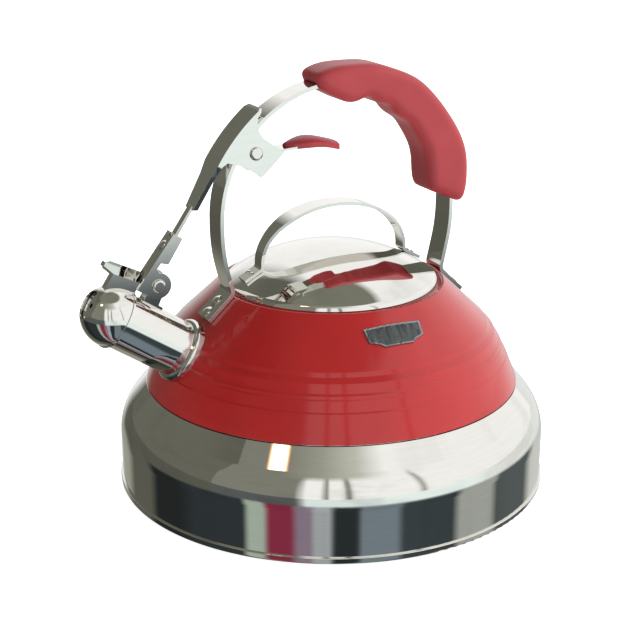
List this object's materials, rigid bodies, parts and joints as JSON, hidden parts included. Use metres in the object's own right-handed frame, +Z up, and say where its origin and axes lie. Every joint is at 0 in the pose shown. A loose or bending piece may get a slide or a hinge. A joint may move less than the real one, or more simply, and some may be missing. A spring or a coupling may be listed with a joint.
{
  "type": "whistling kettle",
  "caption": "Stovetop whistling kettle: wide steel base, red enamelled dome, lift-off lid, arched handle with red grip, and a trigger that tips the spout's whistle cap open.",
  "frame": {"origin": "centre of the flat bottom face", "axes": "+Z up, spout towards -X, handle in the XZ plane"},
  "size_m": [0.2418, 0.22, 0.213],
  "materials": {
    "steel": "mirror-polished stainless steel",
    "brushed": "fine-brushed stainless steel",
    "enamel": "glossy red enamel",
    "red_plastic": "satin red soft-touch plastic",
    "aluminium": "pressed disc, hidden in the base",
    "badge": "dark blank badge with a bright edge",
    "spring_steel": "spring wire"
  },
  "bodies": {
    "kettle": {"base_cap": "brushed", "base_core_disc": "aluminium", "bottom_pan": "steel", "lower_body_shell": "steel", "upper_body_shell": "enamel", "neck_ring": "steel", "spout_tube": "steel", "spout_collar": "steel", "spout_bracket": "steel", "cap_pivot_pin": "steel", "cap_return_spring": "spring_steel", "handle_strap": "steel", "front_handle_rivets": "steel", "rear_handle_rivets": "steel", "grip": "red_plastic", "trigger_bracket": "steel", "trigger_pivot_pin": "steel", "badge": "badge"},
    "lid": {"lid_disc": "steel", "lid_skirt": "steel", "lid_handle": "steel", "lid_handle_rivets": "steel"},
    "trigger": {"trigger_lever": "steel", "trigger_pad": "red_plastic"},
    "cap": {"whistle_cap_shell": "steel", "whistle_outer_disc": "steel", "whistle_inner_disc": "steel", "cap_arm": "steel", "arm_rivet": "steel", "arm_cross_pin": "steel", "cap_thumb_tab": "steel"}
  },
  "joints": [
    {"name": "lid_lift", "type": "slide", "parent": "kettle", "child": "lid", "axis": [0, 0, 1], "range_m": [0, 0.025]},
    {"name": "trigger_pivot", "type": "hinge", "parent": "kettle", "child": "trigger", "pos_m": [-0.04435, 0, 0.17428], "axis": [0, -1, 0], "range_deg": [0, 10], "stiffness_Nm_per_rad": 0.6, "springref_deg": -20.05},
    {"name": "cap_pivot", "type": "hinge", "parent": "kettle", "child": "cap", "pos_m": [-0.09403, 0, 0.11448], "axis": [0, 1, 0], "range_deg": [0, 22.9]}
  ],
  "couplings": [
    {"joint": "cap_pivot", "follows": "trigger_pivot", "ratio": 2.27}
  ]
}
